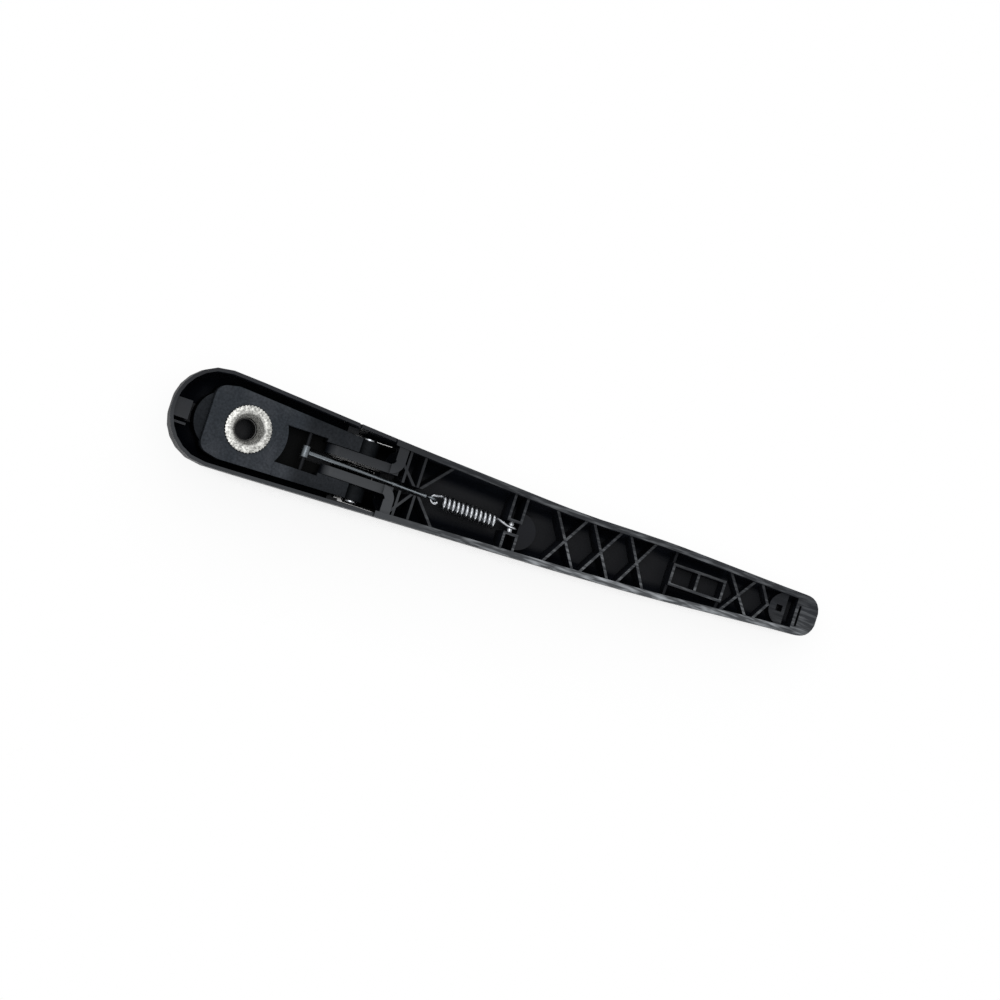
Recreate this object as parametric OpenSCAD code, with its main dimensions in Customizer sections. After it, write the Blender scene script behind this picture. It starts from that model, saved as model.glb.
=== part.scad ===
// Rear wiper arm, lying on its crown with the open underside up.
// X runs from the drive shaft to the tip, Z is the shaft axis and points to
// the glass, and the origin is on the shaft axis, halfway along the straight
// end of the shaft bore. Depths are given from the head's mounting face, which
// is the plane that carries the insert. All sizes are in millimetres.

/* [Body] */
// Distance from the shaft axis to the tip of the arm
reach = 264; // [240:1:300]
// Radius of the round end of the cap, seen in plan
head_r = 21.1; // [20.8:0.1:23]
// Distance from the shaft axis back to the centre of the round end
head_back = 13.4; // [12.5:0.1:15]
// Half width of the body where the cap meets the arm
joint_half_w = 17; // [16.8:0.1:18.5]
// Half width of the arm at its waist
waist_half_w = 13.3; // [12.8:0.1:15]
// Distance from the shaft axis to the waist
waist_x = 150; // [146:1:156]
// Half width of the arm at its shoulder, where it starts to narrow again
shoulder_half_w = 12.7; // [12:0.1:14]
// Distance from the shaft axis to the shoulder
shoulder_x = 190; // [184:1:198]
// Half width of the arm near its tip
tip_half_w = 8.8; // [8.4:0.1:10]
// Depth of the body from its rim to its crown at the head
body_depth = 22.3; // [22.1:0.1:24]
// Depth of the arm at its tip
tip_depth = 11; // [10:0.1:13]
// Height of the rim above the mounting face
rim_rise = 1.8; // [1.2:0.1:2.6]
// Sideways offset of the arm's centre line at its waist
waist_bow = -1.4; // [-2:0.1:-0.8]
// Sideways offset of the arm's centre line at its tip
tip_bow = 1.5; // [0:0.1:2.5]
// Squareness of the rounded section, 2 is an ellipse
squareness = 4.2; // [4:0.1:5]

/* [Walls] */
// Wall of the cap
cap_wall = 1.5; // [1.2:0.1:1.7]
// Side wall of the arm
arm_wall = 2.6; // [2.2:0.1:3]
// Crown of the arm
arm_crown = 2; // [1.6:0.1:2.2]
// Thickness of a stiffening rib
rib_t = 1.1; // [0.8:0.1:1.5]
// Distance of the rib tops below the rim
rib_drop = 2.2; // [1.5:0.1:3.5]
// Thickness of the wall that closes the arm behind the hinge
rear_wall_t = 4.4; // [4:0.1:4.8]

/* [Shaft seat] */
// Radius of the metal insert over its knurl
insert_r = 10.2; // [9.6:0.1:10.8]
// Radius of the straight end of the shaft bore
shaft_r = 4.4; // [4:0.1:5]
// Radius of the shaft cone at its mouth
cone_r = 6.8; // [6.2:0.1:7.4]
// Length of the cone
cone_len = 7.6; // [6:0.1:8.5]
// Length of the insert
insert_len = 13; // [12:0.1:13.4]
// Height of the insert above the mounting face
insert_proud = 0.6; // [0.2:0.1:1]

/* [Head] */
// Half width of the block at its widest place
block_half_w = 15.9; // [15.2:0.1:16.5]
// Distance from the shaft axis to the back of the mounting face
block_back = 17.8; // [16.5:0.1:18.5]
// Depth of the block
block_depth = 13.5; // [13:0.1:14]
// Distance of the rail tops below the mounting face
rail_drop = 0.8; // [0.4:0.1:1.2]
// Half width over the rails at the hinge
rail_half_w = 13.3; // [13:0.1:13.4]
// Half width of the pocket behind the arm's tail
pocket_half_w = 8.3; // [7.6:0.1:9]
// Thickness of the floor under the arm's tail
head_floor = 1.7; // [1.2:0.1:2]

/* [Hinge] */
// Distance from the shaft axis to the hinge axis
hinge_x = 52.5; // [51:0.5:56]
// Depth of the hinge axis below the mounting face
hinge_z = 9; // [8.6:0.1:9.2]
// Sideways offset of the hinge slot
hinge_y = -1; // [-1.2:0.1:-0.6]
// Radius of a hinge pin
pin_r = 2.2; // [1.8:0.1:2.4]
// Radius of a hinge pin's head
pin_head_r = 3.4; // [3:0.1:3.8]
// Thickness of a hinge pin's head
pin_head_t = 1.1; // [0.8:0.1:1.2]
// Radius of the head's ears round the hinge axis
ear_r = 5.2; // [4.8:0.1:5.6]
// Half width of the slot between the arm's cheeks
slot_half_w = 2.6; // [2.3:0.1:2.8]
// Thickness of a cheek
cheek_t = 4; // [3.5:0.1:4.2]
// Length of the arm's tail behind the hinge axis
tail_len = 17.5; // [15:0.1:18]
// Radius from the hinge axis to the end of the cap
seam_r = 13.9; // [13.5:0.1:14.3]
// Gap between the cap and the arm at that seam
seam_gap = 0.5; // [0.4:0.05:0.7]
// Running clearance of a pivot
run_gap = 0.05; // [0.03:0.01:0.08]
// Side clearance between cheek and ear
side_gap = 0.3; // [0.2:0.05:0.4]

/* [Cap pivot] */
// Distance of the cap's pivot behind the hinge axis
stud_back = 8; // [7.5:0.1:8.5]
// Distance of the cap's pivot below the hinge axis
stud_drop = 4.5; // [4:0.1:4.8]
// Radius of a pivot stud
stud_r = 1.6; // [1.3:0.1:1.8]
// Half width of the latch lug at the round end
latch_half_w = 4.1; // [3:0.1:5]

/* [Spring] */
// Distance from the shaft axis to the hook bar
bar_x = 26.5; // [25:0.1:28]
// Depth of the hook bar below the mounting face
bar_z = 2.6; // [2.4:0.1:3.2]
// Radius of the hook bar
bar_r = 1; // [0.8:0.1:1.2]
// Distance from the shaft axis to the spring anchor
anchor_x = 122; // [120:0.1:126]
// Depth of the spring anchor below the mounting face
anchor_z = 8; // [7.5:0.1:9]
// Sideways offset of the spring anchor
anchor_y = -3.2; // [-3.6:0.1:-2.6]
// Radius of the spring anchor
anchor_r = 1.3; // [1:0.1:1.5]
// Outer radius of the spring
spring_r = 3.5; // [3:0.1:3.8]
// Radius of the spring wire
wire_r = 0.7; // [0.5:0.05:0.75]
// Distance between two turns
pitch = 2.1; // [1.9:0.05:2.2]
// Number of turns
turns = 12; // [9:1:13]
// Radius of the link rod
rod_r = 1; // [0.8:0.1:1.1]

/* [Blade end] */
// Width of the square socket for the blade's clip
socket_w = 2.8; // [2.2:0.1:3.4]
// Distance from the tip back to that socket
socket_back = 17; // [16:0.5:18]
// Length of the solid end block
end_block = 10.6; // [9.5:0.1:11.5]

/* [Hidden] */

plastic = "#24272b";
plastic_lit = "#3a3f44";
steel = "#b9bcc0";
over = 1;
fine = 48;

rim_z = rim_rise;
crown_z = rim_rise - body_depth;
pin_z = -hinge_z;
straight_len = insert_len - cone_len;
face_z = straight_len / 2 + cone_len - insert_proud;
cheek_out = slot_half_w + cheek_t;
ear_in = cheek_out + side_gap;
ear_out = rail_half_w - 0.3;
wing_half_w = ear_out + pin_head_t + 0.5;
rear_x = hinge_x + 11.5;
arm_start = hinge_x + 6;
arm_seam_r = seam_r + seam_gap;
tip_x = reach - 6;
ease = 12;

// Blends a table of [x, value] pairs, with its corners rounded over twice the ease.
function eased(table, x) =
    (lookup(x - ease, table) + lookup(x - ease / 2, table) + lookup(x, table)
     + lookup(x + ease / 2, table) + lookup(x + ease, table)) / 5;

width_table = [[-head_back, head_r], [rear_x, joint_half_w], [waist_x, waist_half_w],
               [shoulder_x, shoulder_half_w], [tip_x, tip_half_w]];
bow_table = [[-head_back, 0.5], [hinge_x, -0.7], [rear_x + 20, -1.1], [waist_x, waist_bow],
             [shoulder_x, 0], [tip_x, tip_bow]];
rim_table = [[rear_x + 4, rim_z], [reach, crown_z + tip_depth]];

function half_w(x) = eased(width_table, x);
function mid_y(x) = eased(bow_table, x);
function rim_at(x) = eased(rim_table, x);

// Share of the full width and depth that is left at x, where the tip is rounded.
tip_round_len = 7.5;
function tip_share(x) = max(0, x - reach + tip_round_len) / tip_round_len;
function tip_round(x) = pow(max(0, 1 - pow(tip_share(x), 2.4)), 0.42);

// One cross-section, from the rim over the crown to the other rim.
section_steps = 16;
function power_of(a) = sign(a) * pow(abs(a), 2 / squareness);
function section(x, w, d, top) =
    [for (i = [0 : section_steps]) let (a = 180 * i / section_steps)
        [x, mid_y(x) + w * power_of(cos(a)), top - d * power_of(sin(a))]];

// Closed body through a row of cross-sections.
module loft(sections) {
    n = len(sections[0]);
    last = len(sections) - 1;
    points = [for (s = sections) each s];
    sides = [for (i = [0 : last - 1], j = [0 : n - 1], half = [0, 1])
        let (a = i * n + j, b = i * n + (j + 1) % n)
            half == 0 ? [a, b, b + n] : [a, b + n, a + n]];
    first_end = [for (j = [n - 1 : -1 : 0]) j];
    last_end = [for (j = [0 : n - 1]) last * n + j];
    polyhedron(points = points, faces = concat(sides, [first_end], [last_end]), convexity = 6);
}

// Stations along the cap: close together round its end, then wider apart.
cap_end_x = hinge_x + seam_r + 1;
function cap_stations(inset) = concat(
    [for (a = [84, 74, 62, 49, 35, 20]) -head_back - (head_r - inset) * sin(a)],
    [for (i = [0 : 6]) -head_back + (cap_end_x + head_back) * i / 6]);

// Depth of the cap at x: its crown rises to the rim round the end.
function nose_depth(x, inset) =
    x < -head_back ? pow(max(0, 1 - pow(-(x + head_back) / (head_r - inset), 3)), 0.4) : 1;
function nose_width(x, inset) =
    x < -head_back ? (head_r - inset) * sqrt(max(0, 1 - pow((x + head_back) / (head_r - inset), 2)))
                   : half_w(x) - inset;

module cap_form(inset, raise) {
    depth = body_depth - inset + raise;
    loft([for (x = cap_stations(inset))
        section(x, nose_width(x, inset), depth * nose_depth(x, inset), rim_z + raise)]);
}

// Lifts a piece from the mounting face to its place over the origin.
module lifted() {
    translate([0, 0, face_z]) children();
}

// Places a copy on each side of the hinge slot.
module both_sides() {
    translate([0, hinge_y, 0]) children();
    translate([0, hinge_y, 0]) mirror([0, 1, 0]) children();
}

// Round bar along Y, from y0 to y1.
module cross_bar(x, z, r, y0, y1) {
    translate([x, y1, z]) rotate([90, 0, 0]) cylinder(h = y1 - y0, r = r, $fn = fine);
}

// Side profile in X and Z, given thickness along Y from y0 to y1.
module side_plate(y0, y1) {
    translate([0, y1, 0]) rotate([90, 0, 0]) linear_extrude(height = y1 - y0) children();
}

// Region behind the arc that ends the cap at the hinge.
module beyond_seam(r) {
    difference() {
        translate([hinge_x, -30, crown_z - over]) cube([40, 60, body_depth + 2 * over]);
        cross_bar(hinge_x, pin_z, r, -31, 31);
    }
}

stud_x = hinge_x - stud_back;
stud_z = pin_z - stud_drop;
stud_in = ear_out - 2.6;
lobe_out = rail_half_w - 1.2;
boss_in = rail_half_w + 0.8;
lip_x = stud_x + 2;
lip_half_w = 10.4;
lip_swing_r = norm([lip_x - stud_x, stud_z - crown_z]) + 0.3;
shoe_y = -hinge_y - 0.6;
latch_top = -3;
ledge_drop = 4.5;
nose_r = 12.8;
nose_x = -10.2;
toe_top = -block_depth - 0.1;
notch_w = 1.1;

module cap() {
    color(plastic) lifted() difference() {
        union() {
            difference() {
                cap_form(0, 0);
                cap_form(cap_wall, over);
                beyond_seam(seam_r);
                translate([lip_x, hinge_y - lip_half_w, crown_z - over])
                    cube([40, 2 * lip_half_w, body_depth + 3 * over]);
                translate([stud_x - 1, hinge_y, crown_z - over]) both_wings();
                translate([stud_x - 2.8, hinge_y - slot_half_w, crown_z - over])
                    cube([20, 2 * slot_half_w, 2 * over + cap_wall]);
            }
            both_sides() cap_pivot();
            intersection() {
                latch();
                cap_form(cap_wall / 2, 0);
            }
        }
        translate([stud_x, head_r - 8, rim_z - 2.4]) cube([notch_w, 8, 4]);
    }
}

// Room beside the lip, out to the wings, on both sides.
module both_wings() {
    for (side = [-1, 1]) translate([0, side > 0 ? lip_half_w : -wing_half_w, 0])
        cube([40, wing_half_w - lip_half_w, body_depth + 3 * over]);
}

// Boss on the cap's wall with the stud that turns in the head.
module cap_pivot() {
    boss_out = half_w(stud_x) - cap_wall / 2 - 0.6;
    translate([stud_x - 2.4, boss_in, stud_z - 1.4]) cube([4.8, boss_out - boss_in, 7]);
    cross_bar(stud_x, stud_z, stud_r, stud_in + 0.2, boss_in + 0.2);
}

// Lug on the round end that stops under the head, and a thin rib beside it.
module latch() {
    wall_x = -head_back - head_r + cap_wall * 1.4;
    translate([wall_x, -latch_half_w, toe_top - 2.4])
        cube([7, 2 * latch_half_w, latch_top - toe_top + 2.4]);
    translate([wall_x, -latch_half_w, toe_top - 2.4])
        cube([nose_x - nose_r + 2.5 - wall_x, 2 * latch_half_w, 2.4]);
    translate([wall_x + 1, -latch_half_w - 2.6, toe_top]) cube([6, 1, latch_top - toe_top - 1]);
}

// Plan of the mounting face and the rails.
module head_plan() {
    offset(r = 5, $fn = 32) offset(delta = -5)
        polygon([[-block_back, -block_half_w + 2], [-block_back + 9, -block_half_w],
                 [stud_x, -rail_half_w + hinge_y], [hinge_x + 12, -rail_half_w + hinge_y],
                 [hinge_x + 12, rail_half_w + hinge_y], [stud_x, rail_half_w + hinge_y],
                 [-block_back + 9, block_half_w], [-block_back, block_half_w - 2]]);
}

rail_end = hinge_x - 4.3;
step_x = 14.6;
pocket_x = insert_r + 7.2;
narrow_x = hinge_x - tail_len - 1;

module head_block() {
    difference() {
        union() {
            intersection() {
                translate([0, 0, -block_depth]) linear_extrude(height = block_depth) head_plan();
                union() {
                    translate([-30, -30, -block_depth]) cube([30 + step_x, 60, block_depth]);
                    translate([0, -30, -block_depth]) cube([rail_end, 60, block_depth - rail_drop]);
                }
            }
            translate([nose_x, 0, -block_depth])
                cylinder(h = block_depth - ledge_drop, r = nose_r, $fn = fine);
        }
        translate([0, 0, -block_depth - over])
            cylinder(h = block_depth + 2 * over, r = insert_r + run_gap, $fn = fine);
        head_pocket();
        both_sides() cross_bar(bar_x, -bar_z, bar_r + run_gap / 2, 0, pocket_half_w + 2);
    }
}

// Pocket between the rails, with a bulged back wall and a slot in its floor for the link.
module head_pocket() {
    floor_z = -block_depth + head_floor;
    difference() {
        union() {
            translate([0, hinge_y - pocket_half_w, floor_z])
                cube([narrow_x, 2 * pocket_half_w, block_depth]);
            translate([0, hinge_y - ear_in, floor_z]) cube([rail_end + over, 2 * ear_in, block_depth]);
        }
        translate([0, 0, floor_z - over])
            cylinder(h = block_depth + 3 * over, r = pocket_x, $fn = fine);
    }
    translate([bar_x, hinge_y - slot_half_w, -block_depth - over])
        cube([40, 2 * slot_half_w, block_depth + 2 * over]);
    translate([stud_x + 1, hinge_y - ear_in, -block_depth - over])
        cube([40, 2 * ear_in, block_depth + 2 * over]);
}

// One ear: the lobe round the hinge pin and the lobe round the cap's stud.
module ear() {
    difference() {
        union() {
            side_plate(ear_in, ear_out)
                translate([hinge_x, pin_z]) circle(r = ear_r, $fn = fine);
            side_plate(ear_in, lobe_out)
                translate([stud_x, stud_z]) circle(r = stud_r + 1.5, $fn = fine);
            side_plate(ear_in, ear_out - 2.2)
                translate([hinge_x, crown_z + 1]) square([ear_r - 0.4, pin_z - crown_z - 1]);
            hinge_shoe();
        }
        cross_bar(hinge_x, pin_z, pin_r + run_gap / 2, 0, ear_out + over);
    }
}

// Shell under one ear, flush with the crown, that closes the body below the hinge.
module hinge_shoe() {
    difference() {
        intersection() {
            translate([stud_x, slot_half_w - 0.4, crown_z])
                cube([cap_end_x - stud_x, wing_half_w - slot_half_w, -block_depth - crown_z]);
            cross_bar(hinge_x, pin_z, seam_r, 0, 30);
            translate([0, shoe_y, 0.1]) cap_form(0.2, 0);
        }
        translate([0, shoe_y, 0.1]) cap_form(cap_wall + 0.4, over);
        cross_bar(stud_x, stud_z, lip_swing_r, 0, 31);
    }
}

module head() {
    color(plastic_lit) lifted() difference() {
        union() {
            head_block();
            both_sides() ear();
        }
        both_sides() {
            cross_bar(stud_x, stud_z, stud_r + run_gap, stud_in, 20);
            cross_bar(hinge_x, pin_z, pin_r + run_gap / 2, 0, 20);
        }
    }
}

knurl_teeth = 44;
knurl_depth = 0.35;
module shaft_insert() {
    top = insert_proud;
    bottom = insert_proud - insert_len;
    color(steel) lifted() difference() {
        translate([0, 0, bottom]) linear_extrude(height = insert_len)
            polygon([for (i = [0 : 2 * knurl_teeth - 1])
                let (a = 180 * i / knurl_teeth, r = insert_r - knurl_depth * (i % 2))
                    [r * cos(a), r * sin(a)]]);
        translate([0, 0, bottom - over]) cylinder(h = insert_len + 2 * over, r = shaft_r, $fn = fine);
        translate([0, 0, top - cone_len])
            cylinder(h = cone_len + 0.01, r1 = shaft_r + 0.4, r2 = cone_r, $fn = fine);
    }
}

module hinge_pin() {
    cross_bar(hinge_x, pin_z, pin_r, slot_half_w + 0.3, ear_out + 0.01);
    cross_bar(hinge_x, pin_z, pin_head_r, ear_out, ear_out + pin_head_t);
}

module hinge_pin_left() {
    color(steel) lifted() translate([0, hinge_y, 0]) hinge_pin();
}

module hinge_pin_right() {
    color(steel) lifted() translate([0, hinge_y, 0]) mirror([0, 1, 0]) hinge_pin();
}

module hook_bar() {
    color(steel) lifted()
        cross_bar(bar_x, -bar_z, bar_r, hinge_y - pocket_half_w - 1.8, hinge_y + pocket_half_w + 1.8);
}

// Stations along the arm: every few millimetres, and closer at the rounded tip.
function arm_stations(x0, x1, steps) = [for (i = [0 : steps]) x0 + (x1 - x0) * i / steps];
tip_stations = [for (a = [12 : 13 : 77]) reach - tip_round_len * (1 - sin(a))];

module arm_outer() {
    loft([for (x = concat(arm_stations(arm_start, reach - tip_round_len, 20), tip_stations))
        section(x, half_w(x) * tip_round(x), (rim_at(x) - crown_z) * tip_round(x), rim_at(x))]);
}

cavity_end = reach - end_block;
module arm_cavity() {
    loft([for (x = arm_stations(arm_start - over, cavity_end, 18))
        section(x, half_w(x) - arm_wall, rim_at(x) - crown_z - arm_crown + over, rim_at(x) + over)]);
}

// Straight rib in plan, from one point to the other.
module rib(from, to) {
    run = to - from;
    translate(from) rotate(atan2(run[1], run[0]))
        translate([-rib_t / 2, -rib_t / 2]) square([norm(run) + rib_t, rib_t]);
}

module cross_rib(x) {
    rib([x, mid_y(x) - half_w(x)], [x, mid_y(x) + half_w(x)]);
}

// Diagonal cross between the side walls.
module brace(x, run) {
    for (side = [-1, 1])
        rib([x - run, mid_y(x) - side * half_w(x)], [x + run, mid_y(x) + side * half_w(x)]);
}

star_x = 76.8;
star_runs = [[-6.8, 7.2], [-5.6, -7.6], [8.4, 9.4], [9, -10.4]];
brace_x = anchor_x + 24;
brace_pitch = 16.7;
brace_run = 8.4;
tip_brace_x = reach - 36.6;
vee_x = reach - 22.7;
frame_x = [reach - 68, reach - 56.2, reach - 44];
frame_y = [4.4, -4.2];
tie_drop = 3;
box_x0 = anchor_x - 2.7;
box_x1 = anchor_x + 3;
channel = 2.4;

module rib_plan() {
    cross_rib(rear_x + 6);
    cross_rib(star_x);
    for (run = star_runs) rib([star_x, -2], [star_x, -2] + run * 1.6);
    for (i = [0 : 2]) brace(brace_x + i * brace_pitch, brace_run - 0.5 * i);
    brace(tip_brace_x, 7.6);
    for (side = [-1, 1]) rib([vee_x, mid_y(vee_x)], [vee_x - 5, mid_y(vee_x) + side * 8]);
    for (x = frame_x) rib([x, frame_y[0]], [x, frame_y[1]]);
    for (y = frame_y) rib([frame_x[0], y], [frame_x[2], y]);
    anchor_plan();
}

// Ribs that tie the frame to the walls, lower than the others.
module tie_plan() {
    rib([frame_x[0], frame_y[0]], [frame_x[0] + 0.8, 20]);
    rib([frame_x[0], frame_y[1]], [frame_x[0] - 0.8, -20]);
    rib([frame_x[2], frame_y[1]], [frame_x[2] - 1.6, -20]);
}

// Two cross ribs, open in the middle, with short ribs that carry the anchor.
module anchor_plan() {
    for (x = [box_x0, box_x1], side = [-1, 1])
        rib([x, anchor_y + side * (channel + rib_t / 2)], [x, anchor_y + side * 24]);
    for (side = [-1, 1])
        rib([box_x0, anchor_y + side * (channel + rib_t / 2)],
            [box_x1, anchor_y + side * (channel + rib_t / 2)]);
}

// Everything under a line that follows the rim, drop below it.
module below_rim(drop) {
    side_plate(-30, 30)
        polygon([[arm_start - 2, crown_z - over], [reach, crown_z - over],
                 [reach, crown_z + tip_depth - drop], [rear_x + 4, rim_z - drop],
                 [arm_start - 2, rim_z - drop]]);
}

module arm_ribs() {
    intersection() {
        difference() {
            translate([0, 0, crown_z - over]) linear_extrude(height = body_depth + 3) rib_plan();
            link_path();
        }
        below_rim(rib_drop);
    }
    intersection() {
        translate([0, 0, crown_z - over]) linear_extrude(height = body_depth + 3) tie_plan();
        below_rim(rib_drop + tie_drop);
    }
}

// Room above the crown in which the link and the spring swing.
module link_path() {
    floor_z = pin_z - 7.8;
    translate([arm_start, hinge_y - 2.9, floor_z]) cube([26, 3.6, 30]);
    translate([arm_start + 26, anchor_y - spring_r - 0.5, floor_z])
        cube([box_x0 - arm_start - 27, 2 * spring_r + 1.6, 30]);
}

// Wall that closes the arm behind the hinge, open for the link.
module rear_wall() {
    intersection() {
        translate([0, 0, crown_z - over]) linear_extrude(height = body_depth + 3)
            both_sides() ribbon_plan();
        below_rim(0.8);
    }
}

// Plan of one half of the rear wall, which runs round a corner out of its cheek.
ribbon_r = cheek_t + 2;
module ribbon_plan() {
    turn = [rear_x + rear_wall_t - ribbon_r, slot_half_w + ribbon_r];
    translate([rear_x, turn[1]]) square([rear_wall_t, 30]);
    intersection() {
        translate([turn[0], slot_half_w]) square(ribbon_r);
        difference() {
            translate(turn) circle(r = ribbon_r, $fn = fine);
            translate(turn) circle(r = ribbon_r - cheek_t, $fn = fine);
        }
    }
}

boss_x = box_x1 + rib_t / 2;
module arm_bosses() {
    // Half-round buttress behind the anchor
    intersection() {
        translate([boss_x, anchor_y - 0.6, crown_z - over]) cylinder(h = 13.5, r = 8, $fn = fine);
        translate([boss_x, -20, crown_z - over]) cube([20, 40, 20]);
    }
    // Ejector pads beside the crosses
    for (i = [0 : 2]) translate([brace_x + i * brace_pitch + 4.4, mid_y(brace_x) + 0.6, crown_z - over])
        cylinder(h = arm_crown + over + 2.2, r = 2.2, $fn = fine);
    // Boss with the socket for the blade's clip
    intersection() {
        translate([reach - socket_back + 2.8, mid_y(tip_x), crown_z - over])
            cylinder(h = tip_depth - rib_drop + over, r = 7.4, $fn = fine);
        translate([reach - socket_back - 5, -20, crown_z - over]) cube([7.8, 40, 20]);
    }
}

// Tail, hinge lobe and neck of one cheek, seen from the side.
lobe_r = 5.3;
module cheek_profile() {
    tail_top = 7.6;
    tail_low = -(block_depth - head_floor - hinge_z) + side_gap;
    tail_r = (tail_top - tail_low) / 2;
    neck_x = rear_x + rear_wall_t - hinge_x - 1.2;
    translate([hinge_x, pin_z]) {
        circle(r = lobe_r, $fn = fine);
        translate([-tail_len + tail_r, tail_low]) square([tail_len - tail_r, 2 * tail_r]);
        translate([-tail_len + tail_r, tail_low + tail_r]) circle(r = tail_r, $fn = fine);
        polygon([[0, -lobe_r], [lobe_r + 1, -lobe_r], [neck_x, 1], [neck_x, tail_top], [0, tail_top]]);
    }
}

module cheeks() {
    both_sides() side_plate(slot_half_w, cheek_out) cheek_profile();
}

module arm() {
    color(plastic) lifted() difference() {
        union() {
            difference() {
                arm_outer();
                difference() {
                    arm_cavity();
                    arm_ribs();
                    rear_wall();
                    arm_bosses();
                }
                cross_bar(hinge_x, pin_z, arm_seam_r, -30, 30);
            }
            cheeks();
        }
        both_sides() cross_bar(hinge_x, pin_z, pin_r + run_gap, 0, 20);
        cross_bar(anchor_x, -anchor_z, anchor_r + run_gap, anchor_y - channel - rib_t - over,
                  anchor_y + channel + rib_t + over);
        // Socket in the boss, and the slots of the end block
        translate([reach - socket_back, mid_y(tip_x), crown_z + arm_crown + 8])
            cube([socket_w, socket_w, 16], center = true);
        translate([cavity_end + 1.4, mid_y(tip_x) - 5.5, crown_z + tip_depth - 4])
            cube([1, 9, 6]);
    }
}

module spring_anchor() {
    color(steel) lifted()
        cross_bar(anchor_x, -anchor_z, anchor_r, anchor_y - channel - rib_t, anchor_y + channel + rib_t);
}

// Line of pull from the hook bar to the anchor.
bar_point = [bar_x, hinge_y, -bar_z];
anchor_point = [anchor_x, anchor_y, -anchor_z];
pull = anchor_point - bar_point;
pull_len = norm(pull);
pull_yaw = atan2(pull[1], pull[0]);
pull_pitch = -asin(pull[2] / pull_len);
hook_r = anchor_r + wire_r + 0.1;
spring_end = pull_len - hook_r - 5;
spring_start = spring_end - turns * pitch;
eye_r = 1.9;
eye_at = spring_start - 5;

// Puts children on the line of pull, with X along it.
module on_pull() {
    translate(bar_point) rotate([0, pull_pitch, pull_yaw]) children();
}

module link() {
    color(steel) lifted() difference() {
        union() {
            cross_bar(bar_x, -bar_z, bar_r + 0.8, hinge_y - 2.4, hinge_y + 2.4);
            on_pull() {
                translate([bar_r + 0.2, 0, 0]) rotate([0, 90, 0])
                    cylinder(h = eye_at - eye_r - bar_r - 0.4, r = rod_r, $fn = 32);
                translate([eye_at, 0, 0]) rotate([90, 0, 0])
                    rotate_extrude($fn = 32) translate([eye_r, 0]) circle(r = 0.7, $fn = 16);
            }
        }
        cross_bar(bar_x, -bar_z, bar_r + run_gap, hinge_y - 4, hinge_y + 4);
    }
}

// Wire centre line on the line of pull: hook in the eye, coils, hook round the anchor.
coil_r = spring_r - wire_r;
steps_per_turn = 12;
loop_r = 1.7;
function arc(cx, r, a0, a1, steps, upright) =
    [for (i = [0 : steps]) let (a = a0 + (a1 - a0) * i / steps)
        upright ? [cx + r * cos(a), 0, r * sin(a)] : [cx + r * cos(a), r * sin(a), 0]];
wire_line = concat(
    arc(eye_at + eye_r - 0.2, loop_r, -30, -270, 9, false),
    [[spring_start - 1, coil_r * 0.5, -0.6]],
    [for (i = [0 : turns * steps_per_turn]) let (a = 360 * i / steps_per_turn)
        [spring_start + pitch * i / steps_per_turn, coil_r * sin(a + 60), -coil_r * cos(a + 60)]],
    [[spring_end + 1.2, coil_r * 0.45, -0.5]],
    arc(pull_len, hook_r, 140, -90, 9, true));

// Round wire along a line of points, with its rings kept free of twist.
wire_sides = 8;
function unit(v) = v / norm(v);
function across(n, t) = unit(n - (n * t) * t);
function tangent(line, i) =
    unit(line[min(i + 1, len(line) - 1)] - line[max(i - 1, 0)]);
module wire(line, r) {
    count = len(line);
    normals = [for (i = 0, n = across([0.3, 0.2, 1], tangent(line, 0)); i < count;
        i = i + 1, n = across(n, tangent(line, min(i, count - 1)))) n];
    loft([for (i = [0 : count - 1])
        let (n = normals[i], b = cross(tangent(line, i), n))
            [for (j = [0 : wire_sides - 1]) let (a = 360 * j / wire_sides)
                line[i] + r * (cos(a) * n + sin(a) * b)]]);
}

module spring() {
    color(steel) lifted() on_pull() wire(wire_line, wire_r);
}

head();
shaft_insert();
cap();
arm();
hinge_pin_left();
hinge_pin_right();
hook_bar();
link();
spring();
spring_anchor();
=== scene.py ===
"""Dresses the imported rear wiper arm: finishes, soft edges, spring, insert teeth and studio."""

import math

import bmesh
import bpy
from mathutils import Matrix, Vector


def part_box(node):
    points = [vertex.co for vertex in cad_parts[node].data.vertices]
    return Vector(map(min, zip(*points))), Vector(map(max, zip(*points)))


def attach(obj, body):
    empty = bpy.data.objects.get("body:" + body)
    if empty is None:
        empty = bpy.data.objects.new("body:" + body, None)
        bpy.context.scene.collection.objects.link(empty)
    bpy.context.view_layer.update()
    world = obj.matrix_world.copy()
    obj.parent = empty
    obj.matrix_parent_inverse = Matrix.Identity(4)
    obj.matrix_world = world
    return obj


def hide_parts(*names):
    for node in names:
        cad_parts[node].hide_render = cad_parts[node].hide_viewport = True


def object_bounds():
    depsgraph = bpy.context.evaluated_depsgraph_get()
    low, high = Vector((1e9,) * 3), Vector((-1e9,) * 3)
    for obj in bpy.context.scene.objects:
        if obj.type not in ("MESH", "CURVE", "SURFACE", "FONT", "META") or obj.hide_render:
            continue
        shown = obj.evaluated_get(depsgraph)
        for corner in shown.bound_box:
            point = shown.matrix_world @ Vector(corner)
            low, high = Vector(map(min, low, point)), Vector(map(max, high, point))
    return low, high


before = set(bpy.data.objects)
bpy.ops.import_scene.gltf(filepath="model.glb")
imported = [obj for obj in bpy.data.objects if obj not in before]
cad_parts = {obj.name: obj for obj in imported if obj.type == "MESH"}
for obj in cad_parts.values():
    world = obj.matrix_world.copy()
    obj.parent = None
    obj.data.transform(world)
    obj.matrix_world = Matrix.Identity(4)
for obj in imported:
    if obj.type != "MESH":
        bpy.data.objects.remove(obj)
cad_low, cad_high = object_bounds()

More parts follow.
